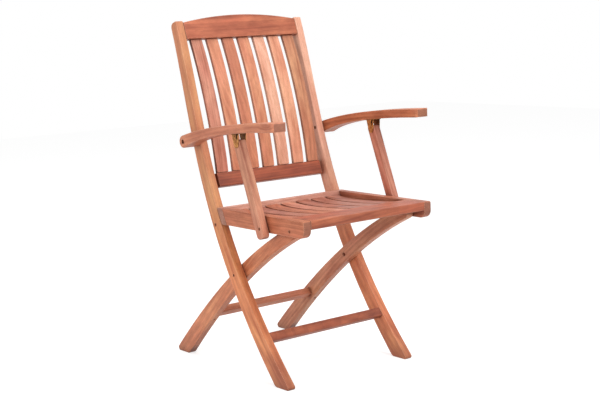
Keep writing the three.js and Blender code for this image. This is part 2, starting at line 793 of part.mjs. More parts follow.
// The arm's side profile is cut by its plan, which rounds the front end's corners.
function addArms() {
  const profile = armShape();
  const board = solidFrom(sideBoard(profile, arm.width, ease, facets.armCount));
  const frontY = armPivot.x - arm.frontReach;
  const plan = new THREE.Shape();
  const rearY = armPivot.x + arm.rearRadius + overrun;
  plan.moveTo(rearY, -overrun);
  plan.lineTo(rearY, arm.width + overrun);
  plan.lineTo(frontY + arm.planRadius, arm.width + overrun);
  plan.lineTo(frontY + arm.planRadius, arm.width);
  plan.quadraticCurveTo(frontY, arm.width, frontY, arm.width - arm.planRadius);
  plan.lineTo(frontY, arm.planRadius);
  plan.quadraticCurveTo(frontY, 0, frontY + arm.planRadius, 0);
  plan.lineTo(frontY + arm.planRadius, -overrun);
  const tall = armTop.front + arm.rearRadius + 2 * overrun;
  const block = new THREE.ExtrudeGeometry(plan, { depth: tall, bevelEnabled: false, curveSegments: facets.cornerCount });
  const upright = new THREE.Matrix4().makeBasis(
    new THREE.Vector3(0, 1, 0),
    new THREE.Vector3(-1, 0, 0),
    new THREE.Vector3(0, 0, 1),
  );
  block.applyMatrix4(upright).translate(arm.width, 0, armPivot.y - arm.rearRadius - overrun);
  const rounded = board.intersect(solidFrom(block));
  const headSeat = armPin.headHeight + armPin.headRecess;
  for (const { word, sign, body } of armBodies) {
    const outer = sign > 0 ? arm.width : 0;
    const from = sign > 0 ? outer - headSeat : outer - overrun;
    const to = sign > 0 ? outer + overrun : outer + headSeat;
    const counterbore = roundAcross(armPin.headRadius + boreGap, from, to, armPivot);
    const geometry = geometryFrom(rounded.subtract(counterbore));
    putOnSide(body, `armrest_${word}`, geometry, wood(tones.arm), sign, outerLayer, arm.width);
  }
}

function addArmPins() {
  const inner = stileInner + pinRecess;
  const length = outerLayer + arm.width - armPin.headRecess - armPin.headHeight + seatGap - inner;
  const geometry = headedPin(length, armPin.radius, armPin.headRadius, armPin.headHeight - seatGap);
  for (const { word, sign, body } of armBodies) {
    putPin(body, `arm_pivot_bolt_${word}`, geometry, metal(brassColour), sign, sign * inner, armPivot);
  }
}

// The arm's underside above its support hinge: its height over the hinge, square to it, and its slope.
function armUnderside() {
  const frontY = armPivot.x - arm.frontReach;
  const curve = new THREE.QuadraticBezierCurve(
    at(frontY + arm.frontRadius, armPivot.y + armBottom.front),
    armMiddle(armBottom),
    armRearPoint(armEdgeAngle(armMiddle(armBottom), -1)),
  );
  const share = shareWhere((value) => curve.getPoint(value).x, armHinge.x, [0, 1]);
  const slope = direction(curve, share);
  const reach = curve.getPoint(share).sub(armHinge).dot(at(-slope.y, slope.x));
  return { slope, reach };
}

const supportInner = outerLayer + bracket.ear + seatGap;
const supportOuter = supportInner + support.thickness;

// A brass bracket: a plate under the arm with an ear down each side of the support.
function addBrackets() {
  const { slope, reach } = armUnderside();
  const plateTop = reach - seatGap;
  const plateBottom = plateTop - bracket.plate;
  const ear = new THREE.Shape();
  const half = bracket.earWidth / 2;
  ear.moveTo(-half, plateTop);
  ear.lineTo(-half, 0);
  ear.absarc(0, 0, half, Math.PI, 2 * Math.PI, false);
  ear.lineTo(half, plateTop);
  bore(ear, at(0, 0), pinRadius + boreGap);
  const plate = new THREE.Shape();
  plate.moveTo(-bracket.plateLength / 2, plateBottom);
  plate.lineTo(bracket.plateLength / 2, plateBottom);
  plate.lineTo(bracket.plateLength / 2, plateTop);
  plate.lineTo(-bracket.plateLength / 2, plateTop);
  const across = support.thickness + 2 * seatGap + 2 * bracket.ear;
  const earGeometry = sideBoard(ear, bracket.ear, 0);
  const inner = solidFrom(earGeometry);
  const outer = solidFrom(earGeometry.clone().translate(across - bracket.ear, 0, 0));
  const solid = solidFrom(sideBoard(plate, across, 0)).add(inner).add(outer);
  const geometry = geometryFrom(solid);
  for (const { word, sign, body } of armBodies) {
    const inside = supportInner - seatGap - bracket.ear;
    const mesh = putOnSide(body, `arm_bracket_${word}`, geometry, metal(brassColour), sign, inside, across);
    mesh.position.y = armHinge.x;
    mesh.position.z = armHinge.y;
    mesh.rotation.x = slope.angle();
  }
}

// A support's centre line runs from the hinge under the arm to just behind the pin in the seat's side rail.
function addSupports() {
  const foot = supportPin.clone().add(at(support.pinForward, 0));
  const down = foot.clone().sub(armHinge).normalize();
  const across = at(-down.y, down.x).multiplyScalar(support.depth / 2);
  const top = armHinge.clone().addScaledVector(down, -support.above);
  const bottom = foot.clone().addScaledVector(down, support.below);
  const shape = roundedShape([
    [top.clone().sub(across), support.topRadius],
    [bottom.clone().sub(across), support.bottomRadius],
    [bottom.clone().add(across), support.bottomRadius],
    [top.clone().add(across), support.topRadius],
  ]);
  bore(shape, armHinge, pinRadius + boreGap);
  bore(shape, supportPin, pinRadius + boreGap);
  const geometry = sideBoard(shape, support.thickness);
  const topLength = support.thickness + 2 * bracket.ear + 2 * seatGap;
  const topPin = headedPin(topLength, pinRadius, hingePinHead.radius, hingePinHead.height);
  const bottomPin = headedPin(support.thickness - pinRecess, pinRadius, pinRadius, pinRecess / 2);
  for (const { word, sign, body: armBody } of armBodies) {
    const body = hinged(armBody, `support_${word}`, armHinge);
    const material = wood(tones.support);
    putOnSide(body, `arm_support_${word}`, geometry, material, sign, supportInner, support.thickness);
    const topX = sign * (supportInner - seatGap - bracket.ear);
    putPin(body, `support_top_pin_${word}`, topPin, metal(brassColour), sign, topX, armHinge);
    const bottomX = sign * supportInner;
    putPin(body, `support_bottom_pin_${word}`, bottomPin, metal(steelColour), sign, bottomX, supportPin);
  }
}

addStiles();
const topRailPlace = addTopRail();
const lowerRailPlace = addLowerRail();
addBackSlats(topRailPlace, lowerRailPlace);
addFrontCrossbar();
addSeatRod();
addCrossingPins();
addRearLegs();
addRearCrossbar();
addSideRails();
addRearRail();
addFrontRail();
addSeatSlats();
addSeatHooks();
addLegTopPins();
addArms();
addArmPins();
addBrackets();
addSupports();

// The chair stands with the middle of its outer box over the origin.
const box = new THREE.Box3().setFromObject(chair);
const middle = box.getCenter(new THREE.Vector3());
chair.position.set(-middle.x, -middle.y, -box.min.z);

export default chair;
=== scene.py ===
# %% [markdown]
# # A folding teak armchair
#
# The chair is a garden chair made of solid teak boards. Its shapes are already right when they arrive as
# the frame, so the work here is what the eye meets first: the wood. Teak is warm and a little greasy to the
# touch, its grain runs the long way of every board, and no two boards have the same tone. The lesson
# dresses each board in its own piece of that wood, adds the small brass screws, and photographs the chair
# on white.

# %% Load the frame of the chair
import json
import math
import random

import bmesh
import bpy
import numpy as np
from mathutils import Matrix, Vector


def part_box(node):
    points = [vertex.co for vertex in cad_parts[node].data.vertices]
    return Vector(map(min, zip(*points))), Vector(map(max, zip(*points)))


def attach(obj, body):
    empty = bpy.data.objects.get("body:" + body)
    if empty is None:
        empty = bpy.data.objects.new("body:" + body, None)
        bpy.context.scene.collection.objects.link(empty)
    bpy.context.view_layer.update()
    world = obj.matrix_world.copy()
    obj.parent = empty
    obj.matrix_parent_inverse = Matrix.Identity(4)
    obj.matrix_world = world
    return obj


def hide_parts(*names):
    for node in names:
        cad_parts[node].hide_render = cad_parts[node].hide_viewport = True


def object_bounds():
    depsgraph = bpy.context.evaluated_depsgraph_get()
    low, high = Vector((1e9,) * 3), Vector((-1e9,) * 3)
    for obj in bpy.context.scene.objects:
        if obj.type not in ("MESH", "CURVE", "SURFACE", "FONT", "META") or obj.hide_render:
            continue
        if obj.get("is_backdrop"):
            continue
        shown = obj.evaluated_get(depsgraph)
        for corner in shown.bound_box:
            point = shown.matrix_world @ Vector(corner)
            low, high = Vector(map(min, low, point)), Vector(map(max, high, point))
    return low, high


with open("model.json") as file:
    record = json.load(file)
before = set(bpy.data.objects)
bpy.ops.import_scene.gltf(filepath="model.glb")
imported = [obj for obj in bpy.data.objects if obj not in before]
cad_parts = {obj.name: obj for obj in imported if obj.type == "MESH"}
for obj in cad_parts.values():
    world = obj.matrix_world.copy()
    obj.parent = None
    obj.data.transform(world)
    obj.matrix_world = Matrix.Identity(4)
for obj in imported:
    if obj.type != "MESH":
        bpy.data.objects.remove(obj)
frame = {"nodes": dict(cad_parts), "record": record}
cad_low, cad_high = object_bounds()
body_of = {node: body for body, nodes in frame["record"]["behaviour"]["bodies"].items() for node in nodes}
slot_of = {entry["node"]: entry["material_slot"] for entry in frame["record"]["subparts"]}
print("box of the solids, mm:", [round(1000 * v) for v in (*cad_low, *cad_high)])

# %% [markdown]
# ## The camera
#
# The picture was taken from the front and a little to the sitter's right, from just above the arms, with a
# short telephoto lens. The lines of the seat and the back meet far outside the picture, and those meeting
# points fix the camera's turn and tilt. A camera could be aimed with a Track To constraint, but then it
# can't lean, and this one leans by two degrees. So its three axes are written out: back, right and up.

# %% Place the camera
CAMERA_PLACE = Vector((-1.962, -2.5339, 0.898))
CAMERA_AZIMUTH = math.radians(-38.1)
CAMERA_RISE = math.radians(8.37)
CAMERA_LEAN = math.radians(-2.13)
LENS_MM = 73.9
SENSOR_MM = 36

back = Vector((
    math.sin(CAMERA_AZIMUTH) * math.cos(CAMERA_RISE),
    -math.cos(CAMERA_AZIMUTH) * math.cos(CAMERA_RISE),
    math.sin(CAMERA_RISE),
))
level_right = Vector((0, 0, 1)).cross(back).normalized()
level_up = back.cross(level_right)
right = math.cos(CAMERA_LEAN) * level_right + math.sin(CAMERA_LEAN) * level_up
up = math.cos(CAMERA_LEAN) * level_up - math.sin(CAMERA_LEAN) * level_right

camera_data = bpy.data.cameras.new("photo_camera")
camera_data.lens = LENS_MM
camera_data.sensor_width = SENSOR_MM
camera_data.sensor_fit = "HORIZONTAL"
camera = bpy.data.objects.new("photo_camera", camera_data)
bpy.context.scene.collection.objects.link(camera)
camera.matrix_world = Matrix((
    (right.x, up.x, back.x, CAMERA_PLACE.x),
    (right.y, up.y, back.y, CAMERA_PLACE.y),
    (right.z, up.z, back.z, CAMERA_PLACE.z),
    (0, 0, 0, 1),
))
bpy.context.scene.camera = camera
print("camera at, m:", [round(v, 3) for v in CAMERA_PLACE], "lens, mm:", LENS_MM)

# %% [markdown]
# ## Colours
#
# Colours are easiest to judge on a screen, so they are written here as the screen shows them, from 0 to
# 255. Blender calculates with light, not with screen values, and needs them made linear first. The curve
# between the two is the screens' own, called sRGB: a short straight piece near black, and a power of 2.4
# above it.

# %% Turn screen colours into light
def screen(red, green, blue):
    def linear(value):
        value = value / 255
        return value / 12.92 if value <= 0.04045 else ((value + 0.055) / 1.055) ** 2.4

    return (linear(red), linear(green), linear(blue), 1.0)


bpy.context.scene.view_settings.view_transform = "Standard"
print("mid tone of oiled teak:", [round(v, 3) for v in screen(210, 145, 110)[:3]])

# %% [markdown]
# ## Helpers for wiring nodes
#
# Every material below is a small network. Making it node by node takes three lines a node, so a few helpers
# do that work. One adds any node and wires its inputs, and the others add what is needed most: a sum, a
# vector sum, a mix of two colours, a tint where a mask says so, and a range that is stretched to run from 0
# to 1. The last ones open a node group, which is a network with named inputs and outputs that many
# materials can share, and place it in a material.

# %% Add a node
def feed(tree, socket, value):
    if isinstance(value, bpy.types.NodeSocket):
        tree.links.new(value, socket)
    else:
        socket.default_value = value


def add_node(tree, kind, inputs=None, **settings):
    node = tree.nodes.new(kind)
    for name, value in settings.items():
        setattr(node, name, value)
    for key, value in (inputs or {}).items():
        feed(tree, node.inputs[key], value)
    return node


# %% Add sums, mixes and ranges
def sums(tree, operation, *values, clamp=False):
    inputs = dict(enumerate(values))
    return add_node(tree, "ShaderNodeMath", inputs, operation=operation, use_clamp=clamp).outputs[0]


def vector_sums(tree, operation, *values):
    node = add_node(tree, "ShaderNodeVectorMath", dict(enumerate(values)), operation=operation)
    return node.outputs["Value" if operation in ("DOT_PRODUCT", "LENGTH") else "Vector"]


def mixed(tree, share, first, second):
    node = add_node(tree, "ShaderNodeMix", data_type="RGBA")
    for key, value in (("Factor_Float", share), ("A_Color", first), ("B_Color", second)):
        feed(tree, next(socket for socket in node.inputs if socket.identifier == key), value)
    return next(socket for socket in node.outputs if socket.identifier == "Result_Color")


def tinted(tree, colour, mask, share, tint):
    return mixed(tree, sums(tree, "MULTIPLY", mask, share), colour, tint)


def stretched_range(tree, value, start, end, top=1.0, kind="LINEAR"):
    inputs = {"Value": value, "From Min": start, "From Max": end, "To Max": top}
    return add_node(tree, "ShaderNodeMapRange", inputs, interpolation_type=kind).outputs[0]


# %% Open a node group, and use it
def open_group(name, inputs, outputs):
    group = bpy.data.node_groups.new(name, "ShaderNodeTree")
    for direction, sockets in (("INPUT", inputs), ("OUTPUT", outputs)):
        for label, kind in sockets.items():
            group.interface.new_socket(label, in_out=direction, socket_type=f"NodeSocket{kind}")
    given = group.nodes.new("NodeGroupInput").outputs
    result = group.nodes.new("NodeGroupOutput").inputs
    return group, given, result


def use_group(tree, group, inputs):
    return add_node(tree, "ShaderNodeGroup", inputs, node_tree=group).outputs


# %% [markdown]
# ## Coordinates that follow the board
#
# Grain follows the tree, and a joiner lays the tree's length along the board's length. So the wood pattern
# is not drawn in the room's X, Y and Z. Each board gets three directions of its own: along it, across its
# wide face, and through it. A dot product with each turns a point into board coordinates. The legs and the
# arms are sawn from naturally bent planks, and their grain bends with them, so the group also takes off
# each board's own curve, written as a cubic. It finds the sawn ends too, where the surface faces along the
# board. Unwrapping the boards would work as well, but then the grain would break at every edge, where this
# way it runs on round the corner as it does in solid wood.

# %% Group: board coordinates
END_FACING = (0.7, 0.92)

board_group, given, result = open_group(
    "board coordinates",
    {
        "Along": "Vector",
        "Across": "Vector",
        "Through": "Vector",
        "Offset": "Vector",
        "Across bend": "Vector",
        "Through bend": "Vector",
    },
    {"Place": "Vector", "End grain": "Float"},
)
tree = board_group
surface = add_node(tree, "ShaderNodeTexCoord").outputs
step = vector_sums(tree, "DOT_PRODUCT", surface["Object"], given["Along"])
squared = sums(tree, "MULTIPLY", step, step)
cubed = sums(tree, "MULTIPLY", squared, step)
powers = add_node(tree, "ShaderNodeCombineXYZ", {"X": step, "Y": squared, "Z": cubed}).outputs[0]
straightened = {"X": step}
for axis, way, bend in (("Y", "Across", "Across bend"), ("Z", "Through", "Through bend")):
    aside = vector_sums(tree, "DOT_PRODUCT", surface["Object"], given[way])
    curve = vector_sums(tree, "DOT_PRODUCT", powers, given[bend])
    straightened[axis] = sums(tree, "SUBTRACT", aside, curve)
joined = add_node(tree, "ShaderNodeCombineXYZ", straightened).outputs[0]
tree.links.new(vector_sums(tree, "ADD", joined, given["Offset"]), result["Place"])
facing = sums(tree, "ABSOLUTE", vector_sums(tree, "DOT_PRODUCT", surface["Normal"], given["Along"]))
tree.links.new(stretched_range(tree, facing, *END_FACING), result["End grain"])
print("board coordinates: nodes", len(tree.nodes))

# %% [markdown]
# ## The figure of teak
#
# What reads as teak has several layers. Year rings lie round the tree's heart, outside the board. The heart
# leans a little against the board, so the rings leave its wide face at a shallow angle and draw long
# arches. Streaks a few millimetres wide run with them. Clouds and a finer mottle make the tone rise and
# fall every few centimetres. Fibres finer than a millimetre give the silky look from close by. Vessels are
# short dark dashes, open pores that the oil has filled. The whole board drifts in colour from straw to
# rose, and a knot bends the rings round itself. Each layer but the rings is noise that is stretched along
# the board: the less a pattern changes along it, the longer its strokes become. Blender's Wave texture
# could draw the rings, but its bands are too even for a tree.

# %% Group: teak figure
figure_group, given, result = open_group(
    "teak figure",
    {
        "Place": "Vector",
        "Heart": "Vector",
        "Lean": "Vector",
        "Ring width": "Float",
        "Figure": "Float",
        "Knot": "Vector",
        "Knot size": "Float",
    },
    {"Tone": "Float", "Drift": "Float", "Vessels": "Float", "Height": "Float"},
)
tree = figure_group
place = given["Place"]


def stretched_noise(tree, place, along, across, detail, roughness=0.5):
    scaled = vector_sums(tree, "MULTIPLY", place, (along, across, across))
    inputs = {"Vector": scaled, "Scale": 1.0, "Detail": detail, "Roughness": roughness}
    return add_node(tree, "ShaderNodeTexNoise", inputs).outputs[0]


# %% Teak figure: how near the knot is
KNOT_STRETCH = (0.4, 1, 1)

from_knot = vector_sums(tree, "MULTIPLY", vector_sums(tree, "SUBTRACT", place, given["Knot"]), KNOT_STRETCH)
reach = sums(tree, "DIVIDE", vector_sums(tree, "LENGTH", from_knot), given["Knot size"])
nearness = sums(tree, "EXPONENT", sums(tree, "MULTIPLY", sums(tree, "MULTIPLY", reach, reach), -1.0))
print("a knot is longer than it is wide, times:", round(1 / KNOT_STRETCH[0], 1))

# %% Teak figure: year rings round a leaning heart
RING_WAVER = 0.03
# A noise is written as its changes in a metre along and across the board, and its detail.
WAVER_NOISE = (1.7, 9.0, 3.0)
KNOT_PUSH = 2.2
RING_NOISE_SCALE = 0.9
RING_DETAIL = 2.0
LATE_WOOD_JITTER = 1.3
LATE_WOOD_SHARPNESS = 5.0
LATE_WOOD_SHARE = 0.22

from_heart = vector_sums(tree, "SUBTRACT", place, given["Heart"])
heart_along = add_node(tree, "ShaderNodeSeparateXYZ", {0: from_heart}).outputs["X"]
both_ways = add_node(tree, "ShaderNodeCombineXYZ", {"Y": heart_along, "Z": heart_along}).outputs[0]
leaned = vector_sums(tree, "MULTIPLY_ADD", given["Lean"], both_ways, from_heart)
radius = vector_sums(tree, "LENGTH", vector_sums(tree, "MULTIPLY", leaned, (0, 1, 1)))
waver = stretched_noise(tree, place, *WAVER_NOISE)
waver = sums(tree, "MULTIPLY_ADD", waver, RING_WAVER, -RING_WAVER / 2)
phase = sums(tree, "DIVIDE", sums(tree, "ADD", radius, waver), given["Ring width"])
phase = sums(tree, "ADD", phase, sums(tree, "MULTIPLY", nearness, KNOT_PUSH))
inputs = {"W": phase, "Scale": RING_NOISE_SCALE, "Detail": RING_DETAIL}
ring_noise = add_node(tree, "ShaderNodeTexNoise", inputs, noise_dimensions="1D").outputs[0]
late_wood = sums(tree, "FRACT", sums(tree, "MULTIPLY_ADD", ring_noise, LATE_WOOD_JITTER, phase))
late_wood = sums(tree, "POWER", late_wood, LATE_WOOD_SHARPNESS)
late_wood = sums(tree, "MULTIPLY", late_wood, LATE_WOOD_SHARE)
rings = sums(tree, "SUBTRACT", sums(tree, "SUBTRACT", ring_noise, 0.5), late_wood)
print("rings and knot: nodes", len(tree.nodes))

# %% Teak figure: the layers of the tone
MID_TONE = 0.55
KNOT_DARKNESS = 0.3
# Each row: changes in a metre along and across the board, detail, roughness, and weight in the tone.
TONE_LAYERS = {
    "streaks": (2.6, 130.0, 3.0, 0.6, 0.7),
    "clouds": (9.0, 46.0, 1.0, 0.5, 1.3),
    "mottle": (24.0, 75.0, 2.0, 0.5, 1.0),
    "fibres": (34.0, 1300.0, 2.0, 0.5, 0.36),
}

tone = sums(tree, "MULTIPLY_ADD", rings, given["Figure"], MID_TONE)
noises = {}
for layer, (along, across, detail, roughness, weight) in TONE_LAYERS.items():
    noises[layer] = stretched_noise(tree, place, along, across, detail, roughness)
    tone = sums(tree, "ADD", tone, sums(tree, "MULTIPLY_ADD", noises[layer], weight, -weight / 2))
tone = sums(tree, "SUBTRACT", tone, sums(tree, "MULTIPLY", nearness, KNOT_DARKNESS), clamp=True)
tree.links.new(tone, result["Tone"])
print("layers of the tone:", ", ".join(TONE_LAYERS))

# %% Teak figure: drift, vessels and height
DRIFT_NOISE = (6.5, 22.0, 1.0)
DRIFT_RANGE = (0.32, 0.68)
PORE_NOISE = (85.0, 2400.0, 0.0)
PORE_RANGE = (0.6, 0.72)
PORE_DEPTH = 0.7
FIBRE_RISE = 0.6

drift = stretched_noise(tree, place, *DRIFT_NOISE)
tree.links.new(stretched_range(tree, drift, *DRIFT_RANGE), result["Drift"])
pores = stretched_noise(tree, place, *PORE_NOISE)
opened = stretched_range(tree, pores, *PORE_RANGE)
tree.links.new(opened, result["Vessels"])
raised = sums(tree, "MULTIPLY", noises["fibres"], FIBRE_RISE)
tree.links.new(sums(tree, "MULTIPLY_ADD", opened, -PORE_DEPTH, raised), result["Height"])
print("teak figure: nodes", len(tree.nodes))

# %% [markdown]
# ## Softened edges
#
# Each board's long edges are sanded round, and they are painted a little paler: partly wear from hands and
# weather, partly a painted highlight along the edge. Blender's Bevel node looks round the corner and gives a
# normal that turns smoothly over the edge. How far that normal turns away from the real one says how near an
# edge is, so one group gives both the soft normal and the mask for the pale edge. A Bevel modifier would
# round the mesh itself, but the bent boards are made of short facets, and it would pinch at each of their
# corners.

# %% Group: sanded edges
EDGE_AGREEMENT = (0.995, 0.85)
EDGE_SAMPLES = 4

edge_group, given, result = open_group(
    "sanded edges",
    {"Radius": "Float"},
    {"Mask": "Float", "Normal": "Vector"},
)
tree = edge_group
soft = add_node(tree, "ShaderNodeBevel", {"Radius": given["Radius"]}, samples=EDGE_SAMPLES).outputs[0]
true_normal = add_node(tree, "ShaderNodeNewGeometry").outputs["Normal"]
agreement = vector_sums(tree, "DOT_PRODUCT", soft, true_normal)
tree.links.new(stretched_range(tree, agreement, *EDGE_AGREEMENT), result["Mask"])
tree.links.new(soft, result["Normal"])
print("sanded edges: nodes", len(tree.nodes))

# %% [markdown]
# ## Painted shade in the joints and gaps
#
# Where two boards meet, and in the narrow gaps between slats, the wood is painted darker. This is mostly
# painted shade, where the light hardly reaches, with a little of the oil and dust that gather there. The
# Ambient Occlusion node measures how closed in a point is within a short distance, and is the mask for it.

# %% Group: painted gap shade
OPENNESS = (0.85, 0.42)
SHADE_SAMPLES = 6

gap_shade_group, given, result = open_group("painted gap shade", {"Reach": "Float"}, {"Mask": "Float"})
tree = gap_shade_group
inputs = {"Distance": given["Reach"]}
open_share = add_node(tree, "ShaderNodeAmbientOcclusion", inputs, samples=SHADE_SAMPLES).outputs["AO"]
tree.links.new(stretched_range(tree, open_share, *OPENNESS), result["Mask"])
print("painted gap shade: nodes", len(tree.nodes))

# %% [markdown]
# ## Where in the tree a board was cut
#
# Two boards may be alike in colour, but they never share a grain, because each was sawn from its own place
# in the tree. A random draw chooses that place: an offset into the noise, where the heart lies beside the
# board, and how it leans. The Object Info node has a random number for each object too, but a written seed
# gives the same board each time, and can be changed until the board looks right. A knot is given as a point
# of the chair, and is turned into the board's own coordinates in the way that the group does it.

# %% Cut a board from the tree
OFFSET_RANGE = (3, 9)
HEART_ASIDE = 0.05
HEART_DEPTH = (0.04, 0.1)
LEAN_ASIDE = 0.02
LEAN_DEPTH = (0.04, 0.11)
NO_KNOT = Vector((9, 9, 9))


def off_centre(chance, aside, depth):
    return Vector((0, chance.uniform(-aside, aside), chance.choice((-1, 1)) * chance.uniform(*depth)))


def cut_from_tree(ways, seed, knot):
    along, across, through, across_bend, through_bend = ways
    chance = random.Random(seed)
    offset = Vector([chance.uniform(*OFFSET_RANGE) for _ in range(3)])
    heart = offset + off_centre(chance, HEART_ASIDE, HEART_DEPTH)
    lean = off_centre(chance, LEAN_ASIDE, LEAN_DEPTH)
    knot_place = NO_KNOT
    if knot:
        step = Vector(knot).dot(along)
        powers = Vector((step, step**2, step**3))
        aside = Vector(knot).dot(across) - powers.dot(across_bend)
        deep = Vector(knot).dot(through) - powers.dot(through_bend)
        knot_place = Vector((step, aside, deep))
    return {"Offset": offset, "Heart": heart, "Lean": lean, "Knot": offset + knot_place}


print("a heart lies at most, mm aside:", round(1000 * math.hypot(HEART_ASIDE, HEART_DEPTH[1])))

# %% [markdown]
# ## One board's teak
#
# A board's material joins the groups. The tone chooses between a dark and a light colour, and the drift
# leads the light colour towards rose. The front legs change their tone on the way down, so a board may have
# a second set of colours below the seat, and the feet are stained dark near the ground. Vessels and sawn
# ends darken the wood, the edges turn paler with wear and a painted highlight, and painted shade darkens the
# joints and gaps. Oil leaves a satin face, so the roughness stays near a half and rises in the open pores
# and on sawn ends. One shared material would be less work, but then all boards would have one tone, and on
# the real chair no two are alike.

# %% Colour the wood and its feet
FOOT_BLEND = (0.3, 0.52)
FOOT_STAIN = screen(128, 66, 48)
STAIN_HEIGHTS = (0.16, 0.02)
STAIN_WAVER = 0.05


def height_in_chair(tree):
    place = add_node(tree, "ShaderNodeTexCoord").outputs["Object"]
    return add_node(tree, "ShaderNodeSeparateXYZ", {0: place}).outputs["Z"]


def wood_colour(tree, wood, colours):
    light, rose, dark = (screen(*colour) for colour in colours)
    return mixed(tree, wood["Tone"], dark, mixed(tree, wood["Drift"], light, rose))


def with_feet(tree, wood, colour, foot_colours, foot_stain):
    if foot_colours:
        share = stretched_range(tree, height_in_chair(tree), *FOOT_BLEND, kind="SMOOTHSTEP")
        colour = mixed(tree, share, wood_colour(tree, wood, foot_colours), colour)
    if foot_stain:
        wavering = sums(tree, "MULTIPLY_ADD", wood["Tone"], STAIN_WAVER, height_in_chair(tree))
        share = stretched_range(tree, wavering, *STAIN_HEIGHTS, top=foot_stain, kind="SMOOTHSTEP")
        colour = mixed(tree, share, colour, FOOT_STAIN)
    return colour


print("feet are stained below, mm:", round(1000 * STAIN_HEIGHTS[0]))

# %% Start a material, and add its bump
def new_material(name):
    material = bpy.data.materials.new(name)
    material.use_nodes = True
    return material, material.node_tree, material.node_tree.nodes["Principled BSDF"]


def add_bump(tree, shader, height, normal, strength, distance):
    inputs = {"Height": height, "Normal": normal, "Strength": strength, "Distance": distance}
    bump = add_node(tree, "ShaderNodeBump", inputs)
    tree.links.new(bump.outputs[0], shader.inputs["Normal"])


# %% Material: teak
EDGE_RADIUS = 0.002
SHADE_REACH = 0.03
# Each mark has a colour, and the share of it where its mask is full.
VESSEL_DARK, VESSEL_SHARE = screen(112, 60, 36), 0.3
SAWN_END, SAWN_SHARE = screen(140, 96, 80), 0.62
EDGE_WEAR_AND_HIGHLIGHT, EDGE_WEAR_AND_HIGHLIGHT_SHARE = screen(240, 188, 158), 0.72
PAINTED_GAP_SHADE = screen(92, 42, 24)
OILED_ROUGHNESS = 0.46
VESSEL_ROUGHNESS = 0.12
SAWN_ROUGHNESS = 0.2
OILED_FINISH = {"Specular IOR Level": 0.4, "Coat Weight": 0.04, "Coat Roughness": 0.4}
# A bump is written as its strength and its depth in metres.
GRAIN_BUMP = (0.35, 0.0003)


def teak(
    name,
    colours,
    ways,
    seed,
    ring_width=0.006,
    figure=1.0,
    knot=None,
    knot_size=0.012,
    foot_colours=None,
    foot_stain=0.0,
    shade_share=0.7,
):
    material, tree, shader = new_material(name)
    cut = cut_from_tree(ways, seed, knot)
    directions = dict(zip(("Along", "Across", "Through", "Across bend", "Through bend"), ways))
    board = use_group(tree, board_group, {**directions, "Offset": cut.pop("Offset")})
    sizes = {"Ring width": ring_width, "Figure": figure, "Knot size": knot_size}
    wood = use_group(tree, figure_group, {"Place": board["Place"], **cut, **sizes})
    edge = use_group(tree, edge_group, {"Radius": EDGE_RADIUS})
    gap_shade = use_group(tree, gap_shade_group, {"Reach": SHADE_REACH})

    colour = wood_colour(tree, wood, colours)
    colour = with_feet(tree, wood, colour, foot_colours, foot_stain)
    colour = tinted(tree, colour, wood["Vessels"], VESSEL_SHARE, VESSEL_DARK)
    colour = tinted(tree, colour, board["End grain"], SAWN_SHARE, SAWN_END)
    # Painted highlight along the edges, together with their wear: paler colour where the edge mask is full.
    colour = tinted(tree, colour, edge["Mask"], EDGE_WEAR_AND_HIGHLIGHT_SHARE, EDGE_WEAR_AND_HIGHLIGHT)
    # Painted shade: darker colour in gaps and joints where the light hardly reaches, with a little joint
    # dirt.
    colour = tinted(tree, colour, gap_shade["Mask"], shade_share, PAINTED_GAP_SHADE)
    tree.links.new(colour, shader.inputs["Base Color"])

    rough = sums(tree, "MULTIPLY_ADD", wood["Vessels"], VESSEL_ROUGHNESS, OILED_ROUGHNESS)
    rough = sums(tree, "ADD", rough, sums(tree, "MULTIPLY", board["End grain"], SAWN_ROUGHNESS))
    tree.links.new(rough, shader.inputs["Roughness"])
    add_bump(tree, shader, wood["Height"], edge["Normal"], *GRAIN_BUMP)
    for socket, value in OILED_FINISH.items():
        shader.inputs[socket].default_value = value
    return material


print("finish of oiled teak:", OILED_FINISH)

# %% [markdown]
# ## Dressing the boards
#
# The boards' shapes are right, but they arrive with every small face drawn flat. Each is copied, its
# doubled corners are joined, and the faces that meet at a shallow angle are shaded as one curve, weighted
# by their area so that the wide flat faces stay flat. A Subdivision Surface would smooth the curves too,
# but it would also draw in the boards' crisp ends. The longest way of a board's own points gives its grain.
# The dressed piece then rides on the body that the solid belongs to, and stands for that solid.

# %% Find a board's own directions
BEND_SHARE = 0.85


def board_ways(mesh, bent):
    points = np.array([vertex.co for vertex in mesh.vertices])
    middle = (points.max(0) + points.min(0)) / 2
    _, _, rows = np.linalg.svd(points - middle, full_matrices=False)
    along, across = Vector(rows[0]), Vector(rows[1])
    if max(along, key=abs) < 0:
        along = -along
    through = along.cross(across)
    bends = [Vector((0, 0, 0)), Vector((0, 0, 0))]
    if bent:
        steps = points @ np.array(along)
        cubics = [np.polyfit(steps, points @ np.array(way), 3) for way in (across, through)]
        bends = [BEND_SHARE * Vector((cubic[2], cubic[1], cubic[0])) for cubic in cubics]
    return along, across, through, *bends


# %% Copy a solid's mesh with its corners joined
SAME_CORNER = 1e-5


def joined_copy(node, name):
    mesh = frame["nodes"][node].data.copy()
    mesh.name = name
    mesh.materials.clear()
    work = bmesh.new()
    work.from_mesh(mesh)
    bmesh.ops.remove_doubles(work, verts=work.verts, dist=SAME_CORNER)
    work.to_mesh(mesh)
    work.free()
    drawn_flat = mesh.attributes.get("custom_normal")
    if drawn_flat is not None:
        mesh.attributes.remove(drawn_flat)
    return mesh


# %% Dress one piece, and one board
CURVE_ANGLE = math.radians(34)


